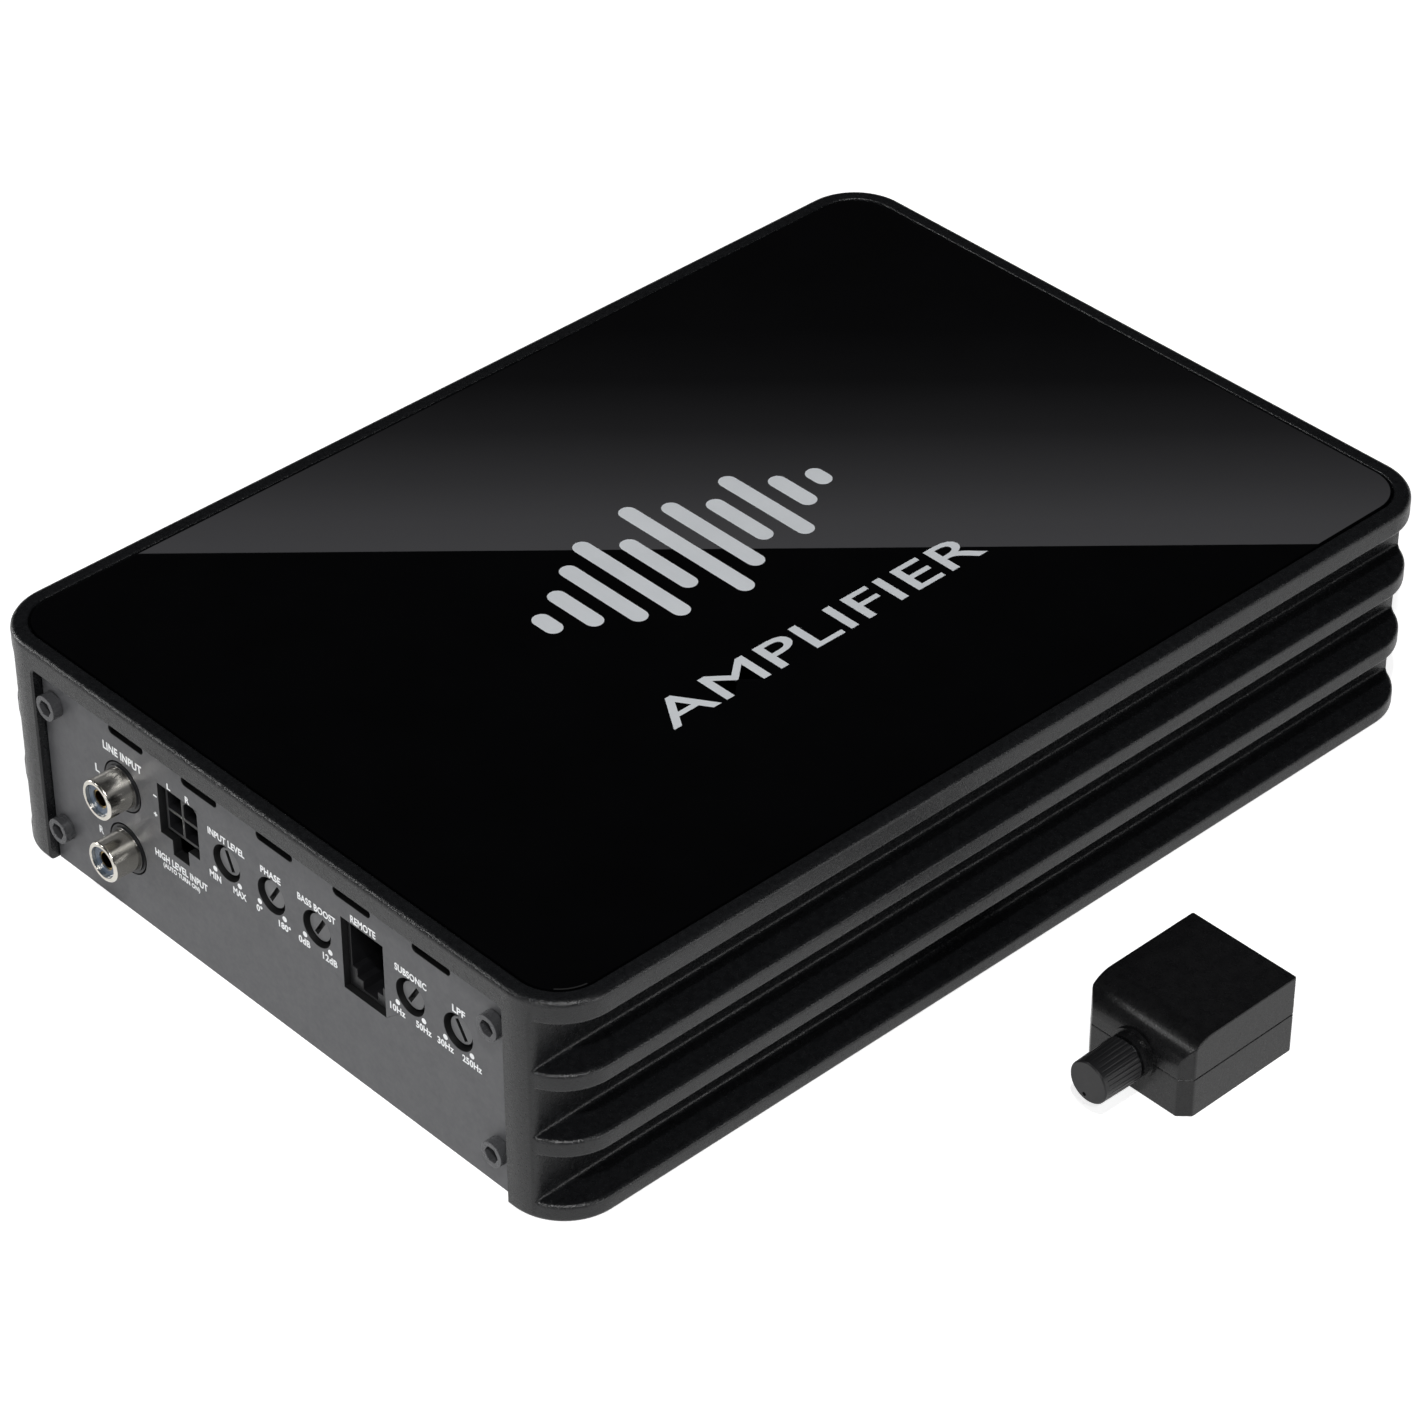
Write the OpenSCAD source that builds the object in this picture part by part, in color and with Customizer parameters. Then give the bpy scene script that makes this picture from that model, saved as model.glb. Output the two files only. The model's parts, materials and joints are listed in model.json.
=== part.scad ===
// Compact car audio amplifier: die-cast finned housing with a glass top plate,
// an input end with preamp controls, a terminal end, the circuit inside,
// and its small wired level control. Millimetres, +Z up.
// X runs across the input panel, Y along the length (inputs at -Y, terminals at +Y).
// The origin is the middle of the amplifier's underside.

/* [Housing] */
// Width across the fins
body_w = 158.4; // [157:0.2:164]
// Length from the input end to the terminal end
body_l = 226.4; // [224:0.2:236]
// Height from the underside to the rim
body_h = 50; // [50:0.5:54]
// Radius of the four vertical corners
corner_r = 12.3; // [11:0.1:13]
// Depth of the side grooves between the fins
groove_d = 7.6; // [6:0.1:7.8]
// Height of each side groove
groove_h = 11; // [10:0.1:11]
// Height of the fins between grooves
fin_h = 4; // [3.8:0.1:4]
// Width of the rim around the glass plate
rim_w = 3.4; // [3:0.1:4.5]

/* [Top plate] */
// Thickness of the glass top plate
plate_t = 2.6; // [2:0.1:2.6]
// Gap between the glass plate and the rim
plate_gap = 0.4; // [0.2:0.05:0.6]
// Thickness of the bonding layer under the plate
bond_t = 0.3; // [0.2:0.05:0.3]

/* [End panels] */
// Distance from the housing's end to the panel's face
recess_d = 2.1; // [1.6:0.1:2.6]
// Thickness of the end panels
panel_t = 2; // [1.6:0.1:2]
// Distance between neighbouring adjusters on the input panel
adjuster_pitch = 12.7; // [12.4:0.1:12.8]
// Height of the adjusters above the underside
adjuster_z = 29.4; // [28.8:0.1:29.6]
// Radius of the adjuster openings in the panel
adjuster_hole_r = 3.8; // [3.4:0.05:4]

/* [Adjusters] */
// Radius of a rotor's slotted face
rotor_r = 2.8; // [2.5:0.05:3]
// Running clearance between a rotor and its seat
run_gap = 0.05; // [0.03:0.01:0.08]
// Angle of the slot from upright at the low end of travel
slot_low_deg = 32; // [30:1:40]
// Angle of the level adjuster's slot from upright, as set
slot_level_deg = -22.5; // [-120:0.5:120]

/* [Line inputs] */
// Outer radius of a line input sleeve
rca_r = 4.15; // [4.1:0.01:4.2]
// Distance between the two line inputs
rca_pitch = 14.5; // [14:0.1:14.6]
// Radius of the centre contact's bore
rca_pin_r = 1.6; // [1.58:0.01:1.65]

/* [Terminals] */
// Radius of the power wire ports
power_port_r = 3.4; // [3:0.1:3.5]
// Radius of the speaker wire ports
speaker_port_r = 2.6; // [2.2:0.1:2.7]
// Radius of the turn-on wire port
turn_on_port_r = 1.7; // [1.5:0.05:1.8]

/* [Circuit] */
// Thickness of the circuit boards
board_t = 1.6; // [1.5:0.1:1.6]
// Number of power transistors on each side wall
transistor_count = 5; // [3:1:5]
// Radius of the transformer over its winding
transformer_r = 25; // [22:0.5:25]

/* [Level control] */
// Width of the level control's case
ctl_w = 25.1; // [24:0.1:26]
// Depth of the level control's case
ctl_d = 28.4; // [27:0.1:30]
// Height of the level control's case
ctl_h = 17.3; // [17:0.1:18]
// Wall thickness of the level control's shells
ctl_wall = 1.5; // [1.2:0.1:1.6]
// Length of the level control's knob
knob_len = 9.3; // [8:0.1:11]
// Number of grooves around the knob
knob_grooves = 30; // [20:1:32]

/* [Hidden] */
$fn = 64;
eps = 0.02;
hw = body_w/2;
hl = body_l/2;
// side groove stations, counted up from the underside
foot_fin_h = 3.9;
groove_pitch = groove_h + fin_h;
// glass plate pocket
pocket_d = 3.0;
pocket_z = body_h - pocket_d;
// end panel planes
panel_y = hl - recess_d;
seat_y = panel_y - panel_t;
lip_h = 5.1;
recess_x = hw - 13.9;
recess_top = body_h - lip_h;
fit = 0.25;
// inner cavity
cav_x = hw - 15.2;
cav_z = body_h - 6.1;
// end panel screws
screw_x = 61.7;
screw_zs = [9.2, 38.1];
// underside plate
base_t = 1.5;
base_x = hw - 6.2;
base_y = seat_y - 0.2;
base_screw_x = cav_x + 3.8;
base_screw_ys = [-96, -32, 32, 96];
// underside mounting bosses
boss_x = 57.5;
boss_y = 84;
boss_r = 4.5;
m4_r = 1.65;
// boards
board_z = 7;
board_top = board_z + board_t;
board_x = 62.5;
standoffs = [for (x = [-50, 50], y = [-66, 4, 66]) [x, y]];
ctl_board_y = -(seat_y - 9.2);
// adjusters, left to right, and whether each rests at its low end
adj_x0 = -12.1;
adj_level_x = adj_x0;
adj_phase_x = adj_x0 + adjuster_pitch;
adj_bass_x = adj_x0 + 2*adjuster_pitch;
adj_sub_x = adj_x0 + 4*adjuster_pitch;
adj_low_x = adj_x0 + 5*adjuster_pitch;
// sockets on the input panel
rca_x = -42.4;
rca_z0 = 15.1;
hl_x = -25.8;
hl_z = 31.1;
rj_x = 26;
rj_z = 28.5;
// terminals
term_z = 20;
term_front = panel_y + 9.4;
power_ports = [[-39, power_port_r, 11, 2.45], [-25, turn_on_port_r, 7, 1.45], [-11, power_port_r, 11, 2.45]];
speaker_ports = [[20, speaker_port_r, 9, 1.95], [36, speaker_port_r, 9, 1.95]];
// transistors
tr_pitch = 25;
// level control, beside the +X fins
ctl_x = 119.35;
ctl_y0 = -12.2;
ctl_z = ctl_h/2;

// ---- shape helpers ----
module box(x0, x1, y0, y1, z0, z1)
  translate([x0, y0, z0]) cube([x1 - x0, y1 - y0, z1 - z0]);
module rrect(x0, x1, y0, y1, r) {
  translate([x0 + r, y0]) square([x1 - x0 - 2*r, y1 - y0]);
  translate([x0, y0 + r]) square([x1 - x0, y1 - y0 - 2*r]);
  for (x = [x0 + r, x1 - r], y = [y0 + r, y1 - r]) translate([x, y]) circle(r);
}
module rbox(x0, x1, y0, y1, z0, z1, r)
  translate([0, 0, z0]) linear_extrude(z1 - z0) rrect(x0, x1, y0, y1, r);
module zcyl(x, y, z0, z1, r) translate([x, y, z0]) cylinder(r = r, h = z1 - z0);
module ycyl(x, z, y0, y1, r) translate([x, y0, z]) rotate([-90, 0, 0]) cylinder(r = r, h = y1 - y0);
module xcyl(y, z, x0, x1, r) translate([x0, y, z]) rotate([0, 90, 0]) cylinder(r = r, h = x1 - x0);
module yhex(x, z, y0, y1, r) translate([x, y0, z]) rotate([-90, 0, 0]) cylinder(r = r, h = y1 - y0, $fn = 6);
module both_x() { children(); mirror([1, 0, 0]) children(); }
module both_y() { children(); mirror([0, 1, 0]) children(); }
// rounded slot through a panel, lying in X
module slot_y(x0, x1, z, r, y0, y1) {
  box(x0 + r, x1 - r, y0, y1, z - r, z + r);
  ycyl(x0 + r, z, y0, y1, r);
  ycyl(x1 - r, z, y0, y1, r);
}

// ---- housing and covers ----
module housing_bosses() {
  both_x() both_y() {
    // blocks that take the end panel screws
    for (z = screw_zs) box(56.6, cav_x + 1, seat_y - 12, seat_y + eps, z - 4.5, z > 20 ? cav_z + 1 : z + 4.5);
    // bosses for the mounting screws, reaching down through the base plate
    zcyl(boss_x, boss_y, 0, 14, boss_r);
    box(boss_x, cav_x + 1, boss_y - boss_r, boss_y + boss_r, base_t + 0.1, 14);
  }
}
module housing() color("#202123") difference() {
  linear_extrude(body_h) rrect(-hw, hw, -hl, hl, corner_r);
  rbox(-hw + rim_w, hw - rim_w, -hl + rim_w, hl - rim_w, pocket_z, body_h + 1, corner_r - rim_w);
  both_x() for (i = [0:2])
    box(hw - groove_d, hw + 1, -hl - 1, hl + 1, foot_fin_h + i*groove_pitch, foot_fin_h + i*groove_pitch + groove_h);
  difference() {
    union() {
      box(-cav_x, cav_x, -seat_y - eps, seat_y + eps, -1, cav_z);
      rbox(-base_x - 0.15, base_x + 0.15, -base_y - 0.15, base_y + 0.15, -1, base_t + 0.1, 6.15);
    }
    housing_bosses();
  }
  both_y() box(-recess_x, recess_x, seat_y, hl + 1, -1, recess_top);
  both_x() {
    both_y() {
      for (z = screw_zs) ycyl(screw_x, z, seat_y - 10, seat_y + 1, 1.3);
      zcyl(boss_x, boss_y, -1, 12, m4_r);
    }
    for (y = base_screw_ys) zcyl(base_screw_x, y, -1, 12, 1.3);
    for (y = clamp_ys()) xcyl(y, 23.5, cav_x - 1, cav_x + 6, 1.3);
  }
}
module top_plate() color("#050507")
  rbox(-hw + rim_w + plate_gap, hw - rim_w - plate_gap, -hl + rim_w + plate_gap, hl - rim_w - plate_gap,
       pocket_z + bond_t, pocket_z + bond_t + plate_t, corner_r - rim_w - plate_gap);
module plate_adhesive() color("#3a3a3a")
  rbox(-hw + rim_w + 3, hw - rim_w - 3, -hl + rim_w + 3, hl - rim_w - 3, pocket_z, pocket_z + bond_t, corner_r - rim_w - 3);
module base_plate() color("#303234") difference() {
  rbox(-base_x, base_x, -base_y, base_y, 0, base_t, 6);
  both_x() {
    both_y() zcyl(boss_x, boss_y, -1, 3, boss_r + 0.3);
    for (y = base_screw_ys) {
      zcyl(base_screw_x, y, -1, 3, 1.6);
      translate([base_screw_x, y, -eps]) cylinder(r1 = 2.95, r2 = 1.6, h = 1.35);
    }
  }
  for (p = standoffs) zcyl(p[0], p[1], -1, 3, 1.3);
}
module base_screws() color("#2b2b2d") both_x() for (y = base_screw_ys) translate([base_screw_x, y, 0]) difference() {
  rotate_extrude() polygon([[0, 0.1], [2.75, 0.1], [1.25, 1.6], [1.25, 9.5], [0, 9.5]]);
  translate([0, 0, -1]) cylinder(r = 1.15, h = 2, $fn = 6);
}
module insulating_film() color("#d9d2b8") difference() {
  box(-53, 53, -76, 76, base_t, base_t + 0.3);
  for (p = standoffs) zcyl(p[0], p[1], 0, 3, 3.4);
}

// cap screws that hold an end panel; drawn for the -Y end
module panel_screw(x, z) difference() {
  union() {
    ycyl(x, z, -panel_y - 2.3, -panel_y, 2.65);
    ycyl(x, z, -panel_y - 0.1, -panel_y + 9, 1.25);
  }
  yhex(x, z, -panel_y - 4, -panel_y - 0.7, 1.7);
}
module input_panel_screws() color("#1c1c1e") both_x() for (z = screw_zs) panel_screw(screw_x, z);
module output_panel_screws() color("#1c1c1e") mirror([0, 1, 0]) both_x() for (z = screw_zs) panel_screw(screw_x, z);

module panel_blank() difference() {
  box(-recess_x + fit, recess_x - fit, -panel_y, -seat_y, 0, recess_top - fit);
  both_x() for (z = screw_zs) ycyl(screw_x, z, -panel_y - 1, -seat_y + 1, 1.7);
}
module input_panel() color("#4a4b4e") difference() {
  panel_blank();
  for (i = [0:4]) slot_y(-45.2 + i*21.25, -35.1 + i*21.25, 41.75, 0.95, -panel_y - 1, -seat_y + 1);
  for (i = [0, 1]) ycyl(rca_x, rca_z0 + i*rca_pitch, -panel_y - 1, -seat_y + 1, 5.4);
  box(hl_x - 5.7, hl_x + 5.7, -panel_y - 1, -seat_y + 1, hl_z - 5.7, hl_z + 5.7);
  box(hl_x - 2.3, hl_x + 2.3, -panel_y - 1, -seat_y + 1, hl_z - 9.1, hl_z - 5.6);
  box(rj_x - 5.7, rj_x + 5.7, -panel_y - 1, -seat_y + 1, rj_z - 8.1, rj_z + 8.1);
  for (x = [adj_level_x, adj_phase_x, adj_bass_x, adj_sub_x, adj_low_x])
    ycyl(x, adjuster_z, -panel_y - 1, -seat_y + 1, adjuster_hole_r);
}
module output_panel() color("#4a4b4e") mirror([0, 1, 0]) difference() {
  panel_blank();
  for (i = [0:4]) slot_y(-47.55 + i*21.25, -37.45 + i*21.25, 41.75, 0.95, -panel_y - 1, -seat_y + 1);
  box(-48.3, -1.7, -panel_y - 1, -seat_y + 1, 8.5, 31.3);
  box(12.2, 43.8, -panel_y - 1, -seat_y + 1, 8.5, 31.3);
  ycyl(52, 20, -panel_y - 1, -seat_y + 1, 1.6);
}

// ---- circuit ----
module board_standoffs() color("#c8c9cb") for (p = standoffs) translate([p[0], p[1], 0]) difference() {
  union() {
    translate([0, 0, base_t]) cylinder(r = 2.9, h = board_z - base_t);
    translate([0, 0, 0.2]) cylinder(r = 1.28, h = base_t);
  }
  translate([0, 0, 2.5]) cylinder(r = 1.3, h = 8);
}
module main_board() color("#14532d") difference() {
  translate([0, 0, board_z]) linear_extrude(board_t) {
    translate([-board_x, -94]) square([2*board_x, 188]);
    translate([-54, -106]) square([108, 211]);
  }
  both_x() both_y() box(boss_x - 5.6, 80, boss_y - 5.6, boss_y + 5.6, 0, 20);
  for (p = standoffs) zcyl(p[0], p[1], 0, 20, 1.6);
}
module board_screws() color("#b9babd") for (p = standoffs) translate([p[0], p[1], board_top]) difference() {
  union() {
    cylinder(r = 2.8, h = 1.8);
    translate([0, 0, -5]) cylinder(r = 1.25, h = 5.5);
  }
  translate([0, 0, 0.8]) { box(-2, 2, -0.3, 0.3, 0, 2); box(-0.3, 0.3, -2, 2, 0, 2); }
}
module control_board() color("#166534") difference() {
  box(-33.5, 56.2, ctl_board_y, ctl_board_y + board_t, board_top, 39);
  for (x = [-15, 40]) ycyl(x, 14, ctl_board_y - 1, ctl_board_y + 3, 1.6);
}
module driver_board() color("#166534") difference() {
  box(-34, 10, -46, -46 + board_t, board_top, 33);
  for (x = [-30, 6]) ycyl(x, 30, -47, -43, 1.2);
}
module driver_chips() color("#141414") for (x = [-24, -10, 4]) box(x - 4, x + 4, -47.8, -46, 14, 24);

// transistors clamped to the side walls
function tr_ys() = [for (i = [0:transistor_count - 1]) (i - (transistor_count - 1)/2)*tr_pitch];
function clamp_ys() = [for (i = [0:transistor_count - 2]) (i - (transistor_count - 2)/2)*tr_pitch];
tr_back = cav_x - 0.6;
bar_len = (transistor_count - 1)*tr_pitch + 14;
module power_transistors() color("#18181a") both_x() for (y = tr_ys()) {
  box(tr_back - 4.4, tr_back, y - 5, y + 5, 16, 31);
  for (k = [-1:1]) box(tr_back - 3, tr_back - 2.4, y + k*2.54 - 0.5, y + k*2.54 + 0.5, board_top, 16 + eps);
}
module thermal_pads() color("#9ca3af") both_x() difference() {
  box(tr_back, cav_x, -bar_len/2, bar_len/2, 14, 33);
  for (y = clamp_ys()) xcyl(y, 23.5, tr_back - 1, cav_x + 1, 1.7);
}
module clamp_bars() color("#8d9096") both_x() difference() {
  box(tr_back - 6.9, tr_back - 4.4, -bar_len/2, bar_len/2, 20, 27);
  for (y = clamp_ys()) xcyl(y, 23.5, tr_back - 8, tr_back, 1.6);
}
module clamp_screws() color("#b9babd") both_x() for (y = clamp_ys()) difference() {
  union() {
    xcyl(y, 23.5, tr_back - 9.3, tr_back - 6.9, 2.75);
    xcyl(y, 23.5, tr_back - 7, cav_x + 5, 1.25);
  }
  translate([tr_back - 10, y, 23.5]) rotate([0, 90, 0]) cylinder(r = 1.45, h = 2, $fn = 6);
}
// ring core with a winding that leaves a bare arc of core
module ring_core(x, y, z0, ri, ro, h) translate([x, y, z0]) rotate_extrude() translate([ri, 0]) square([ro - ri, h]);
module ring_winding(x, y, z0, ri, ro, h, t, gap) translate([x, y, z0]) rotate([0, 0, gap/2]) rotate_extrude(angle = 360 - gap)
  difference() {
    translate([ri - t, 0]) square([ro - ri + 2*t, h + 2*t]);
    translate([ri - 0.1, t - 0.1]) square([ro - ri + 0.2, h + 0.2]);
  }
tf_x = -23; tf_y = 40; tf_t = 3.5;
ch_x = 28; ch_y = 34; ch_t = 2.4;
module transformer_core() color("#4b5563") ring_core(tf_x, tf_y, board_top + tf_t, 11.5, transformer_r - tf_t, 18);
module transformer_winding() color("#b45309") ring_winding(tf_x, tf_y, board_top, 11.5, transformer_r - tf_t, 18, tf_t, 30);
module choke_core() color("#a3a300") ring_core(ch_x, ch_y, board_top + ch_t, 8, 15, 13);
module choke_winding() color("#b45309") ring_winding(ch_x, ch_y, board_top, 8, 15, 13, ch_t, 40);
module can(x, y, r, h) translate([x, y, board_top]) rotate_extrude()
  polygon([[0, 0], [r, 0], [r, 2.2], [r - 0.5, 2.8], [r - 0.5, 3.4], [r, 4], [r, h - 0.8], [r - 0.8, h], [0, h]]);
module input_capacitors() color("#1e293b") for (x = [-42, -24, -6, 12]) can(x, 83, 8, 30);
module output_capacitors() color("#1e293b") for (p = [[24, -14], [40, -14], [24, -32], [40, -32]]) can(p[0], p[1], 6.3, 25);

// ---- input connectors ----
module rca_at() for (i = [0, 1]) translate([rca_x, 0, rca_z0 + i*rca_pitch]) children();
module line_input_block() color("#1f2023") difference() {
  union() {
    box(rca_x - 6.7, rca_x + 6.7, -seat_y + 0.2, -seat_y + 13, board_top, rca_z0 + rca_pitch + 7.2);
    rca_at() { ycyl(0, 0, -panel_y, -seat_y + 1, 5.1); ycyl(0, 0, -panel_y - 0.4, -seat_y + 1, 4.6); }
  }
  rca_at() { ycyl(0, 0, -panel_y - 1, -seat_y + 5, 3.9); ycyl(0, 0, -panel_y - 1, -panel_y - 0.2, 4.2); }
}
module line_input_sleeves() color("#d8cfb4") rca_at() translate([0, -panel_y, 0]) rotate([-90, 0, 0]) rotate_extrude()
  polygon([[3.25, -6.1], [rca_r - 0.25, -6.1], [rca_r, -5.85], [rca_r, -0.25], [3.85, -0.25], [3.85, panel_t + 4.9], [3.25, panel_t + 4.9]]);
module line_input_insulators() color("#2d3440") rca_at() translate([0, -panel_y, 0]) rotate([-90, 0, 0]) rotate_extrude()
  polygon([[2, -5.3], [3.2, -5.3], [3.2, panel_t + 4.8], [2, panel_t + 4.8]]);
module line_input_contacts() color("#c9b27a") rca_at() translate([0, -panel_y, 0]) rotate([-90, 0, 0]) rotate_extrude()
  polygon([[rca_pin_r, -5], [1.98, -5], [1.98, panel_t + 4.5], [0, panel_t + 4.5], [0, panel_t + 4], [rca_pin_r, panel_t + 4]]);

hl_cell = 3.9;
hl_pitch = 4.55;
module hl_cells() for (i = [-1, 1], k = [-1, 1]) translate([hl_x + i*hl_pitch/2, 0, hl_z + k*hl_pitch/2]) children();
// plug cell; a keyed cell has its two upper corners cut
module hl_cell_shape(keyed) {
  c = hl_cell/2; k = keyed ? 0.95 : 0.01;
  rotate([90, 0, 0]) translate([0, 0, -8]) linear_extrude(10) polygon([[-c, -c], [c, -c], [c, c - k], [c - k, c], [-c + k, c], [-c, c - k]]);
}
module high_level_socket() color("#17181a") difference() {
  union() {
    box(hl_x - 4.85, hl_x + 4.85, -panel_y + 1.1, ctl_board_y, hl_z - 4.85, hl_z + 4.85);
    box(hl_x - 1.7, hl_x + 1.7, -panel_y + 2.6, -panel_y + 6, hl_z - 6.4, hl_z - 4.8);
  }
  for (i = [-1, 1], k = [-1, 1]) translate([hl_x + i*hl_pitch/2, -panel_y + 1.5, hl_z + k*hl_pitch/2]) hl_cell_shape(i == k ? (i > 0) : false);
  for (i = [-1, 1], k = [-1, 1]) if (i < 0 && k < 0) translate([hl_x + i*hl_pitch/2, -panel_y + 1.5, hl_z + k*hl_pitch/2]) hl_cell_shape(true);
  hl_cells() box(-0.55, 0.55, 0 - panel_y, ctl_board_y + 1, -0.55, 0.55);
}
module high_level_pins() color("#c9b27a") hl_cells() box(-0.5, 0.5, -panel_y + 5.2, ctl_board_y - 0.05, -0.5, 0.5);

rj_face = -panel_y + 1.3;
rotor_face = -panel_y + 0.8;
module rj_body(x, z, y0, y1, w, h) difference() {
  box(x - w/2, x + w/2, y0, y1, z - h/2, z + h/2);
  rj_cavity(x, z, y0 - 1, y0 + 8.6, h);
}
// plug opening: wide part above, latch steps below
module rj_cavity(x, z, y0, y1, h) {
  box(x - 4.8, x + 4.8, y0, y1, z - h/2 + 4.5, z + h/2 - 1.3);
  box(x - 3.5, x + 3.5, y0, y1, z - h/2 + 2.6, z - h/2 + 4.6);
  box(x - 1.95, x + 1.95, y0, y1, z - h/2 + 0.6, z - h/2 + 2.7);
}
module remote_socket() color("#17181a") rj_body(rj_x, rj_z, rj_face, ctl_board_y, 11, 15.7);
module rj_wires(x, top, y0) for (k = [-2.5:1:2.5]) translate([x + k*1.02, 0, 0]) {
  box(-0.22, 0.22, y0 + 1.4, y0 + 8.5, top - 0.5, top - 0.05);
  translate([0, y0 + 1.4, top - 0.25]) rotate([-28, 0, 0]) box(-0.22, 0.22, 0, 4.2, -0.25, 0.15);
}
module remote_socket_contacts() color("#c9a227") rj_wires(rj_x, rj_z + 7.85 - 1.3, rj_face);

// ---- adjusters ----
module pot(x) color("#25262a") difference() {
  box(x - 4.8, x + 4.8, -seat_y + 0.2, ctl_board_y, adjuster_z - 4.9, adjuster_z + 4.9);
  ycyl(x, adjuster_z, -seat_y - 1, -seat_y + 2.45, rotor_r + run_gap);
  ycyl(x, adjuster_z, -seat_y + 2.4, -seat_y + 4.4, rotor_r + 0.8);
}
// slot_deg is the slot's angle from upright, clockwise as seen from the panel's front
module rotor(x, slot_deg) color("#606266") difference() {
  union() {
    ycyl(x, adjuster_z, rotor_face, -seat_y + 2.7, rotor_r);
    ycyl(x, adjuster_z, -seat_y + 2.6, -seat_y + 4.2, rotor_r + 0.6);
  }
  translate([x, rotor_face - 1, adjuster_z]) rotate([0, slot_deg, 0])
    box(-0.48, 0.48, 0, 2, -2.25, 2.25);
}
module level_pot() pot(adj_level_x);
module phase_pot() pot(adj_phase_x);
module bass_pot() pot(adj_bass_x);
module subsonic_pot() pot(adj_sub_x);
module lowpass_pot() pot(adj_low_x);
module level_rotor() rotor(adj_level_x, slot_level_deg);
module phase_rotor() rotor(adj_phase_x, slot_low_deg);
module bass_rotor() rotor(adj_bass_x, slot_low_deg);
module subsonic_rotor() rotor(adj_sub_x, slot_low_deg);
module lowpass_rotor() rotor(adj_low_x, -slot_low_deg);

// ---- terminal end ----
// each port: [x, port radius, insert width, set screw radius]
module term_block(x0, x1, ports) difference() {
  union() {
    box(x0, x1, seat_y - 7, term_front, 8.8, 31);
    box(x0 + 1, x1 - 1, seat_y - 7, seat_y + 1, board_top, 9);
  }
  for (p = ports) {
    box(p[0] - p[2]/2 - 0.1, p[0] + p[2]/2 + 0.1, term_front - 16.1, term_front + 1, term_z - p[2]/2 - 0.1, term_z + p[2]/2 + 1.6);
    zcyl(p[0], term_front - 7.5, term_z, 32, p[3] + 0.45);
  }
}
module term_insert(p) difference() {
  box(p[0] - p[2]/2, p[0] + p[2]/2, term_front - 16, term_front - 1, term_z - p[2]/2, term_z + p[2]/2 + 1.5);
  ycyl(p[0], term_z, term_front - 13, term_front + 1, p[1]);
  zcyl(p[0], term_front - 7.5, term_z, 40, p[3] + 0.05);
}
module term_screw(p) difference() {
  zcyl(p[0], term_front - 7.5, term_z + p[1] + 0.15, term_z + p[1] + 5.5, p[3]);
  translate([p[0], term_front - 7.5, term_z + p[1] + 3.4]) cylinder(r = p[3]*0.58, h = 9, $fn = 6);
}
module power_terminal_block() color("#1a1b1d") term_block(-48, -2, power_ports);
module power_terminal_inserts() color("#c8c9cb") for (p = power_ports) term_insert(p);
module power_terminal_screws() color("#8d9096") for (p = power_ports) term_screw(p);
module speaker_terminal_block() color("#1a1b1d") term_block(12.5, 43.5, speaker_ports);
module speaker_terminal_inserts() color("#c8c9cb") for (p = speaker_ports) term_insert(p);
module speaker_terminal_screws() color("#8d9096") for (p = speaker_ports) term_screw(p);
module status_led() color("#2563eb") {
  ycyl(52, 20, seat_y - 4, panel_y + 0.3, 1.5);
  ycyl(52, 20, seat_y - 4, seat_y - 0.1, 1.9);
  for (k = [-1, 1]) box(52 + k*1.27 - 0.25, 52 + k*1.27 + 0.25, seat_y - 8.1, seat_y - 3.9, 19.75, 20.25);
  box(49.8, 53.6, seat_y - 9.7, seat_y - 8.1, board_top, 22);
}

// ---- level control ----
// side outline of the case: large round at the top front edge
module ctl_side(g) {
  R = 6.6; d = ctl_d; h = ctl_h;
  translate([g + R - g, g]) square([d - R - g, h - 2*g]);
  translate([g, g]) square([R, h - R - g]);
  intersection() {
    translate([R, h - R]) circle(R - g);
    translate([0, h - R - eps]) square([R + eps, R + eps]);
  }
}
module ctl_solid(g) intersection() {
  translate([ctl_x - ctl_w/2 + g, ctl_y0, 0]) rotate([90, 0, 90]) linear_extrude(ctl_w - 2*g) ctl_side(g);
  translate([ctl_x, ctl_y0, 0]) linear_extrude(ctl_h) polygon([
    [-ctl_w/2 + g, 2.1 + g*0.41], [-ctl_w/2 + 2.1 + g*0.41, g], [ctl_w/2 - 2.1 - g*0.41, g], [ctl_w/2 - g, 2.1 + g*0.41],
    [ctl_w/2 - g, ctl_d - g], [-ctl_w/2 + g, ctl_d - g]]);
}
ctl_back = ctl_y0 + ctl_d;
ctl_screws = [[ctl_x - 8.8, ctl_back - 4.6], [ctl_x + 8.8, ctl_back - 4.6]];
module ctl_shell_full() difference() {
  union() {
    difference() { ctl_solid(0); ctl_solid(ctl_wall); }
    intersection() {
      ctl_solid(0.1);
      for (p = ctl_screws) zcyl(p[0], p[1], 0, ctl_h, 2.4);
    }
  }
  ycyl(ctl_x, ctl_z, ctl_y0 - 1, ctl_y0 + ctl_wall + 0.5, 3.65);
  box(ctl_x - 5.7, ctl_x + 5.7, ctl_back - ctl_wall - 0.5, ctl_back + 1, 1.7, ctl_h - 1.7);
  for (p = ctl_screws) {
    zcyl(p[0], p[1], -1, ctl_h - 3, 1.05);
    zcyl(p[0], p[1], -1, 1.6, 2);
  }
}
module control_bottom_shell() color("#17181a") difference() { ctl_shell_full(); box(ctl_x - 40, ctl_x + 40, ctl_y0 - 5, ctl_back + 5, ctl_z - 0.03, 40); }
module control_top_shell() color("#17181a") difference() { ctl_shell_full(); box(ctl_x - 40, ctl_x + 40, ctl_y0 - 5, ctl_back + 5, -5, ctl_z + 0.03); }
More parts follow.
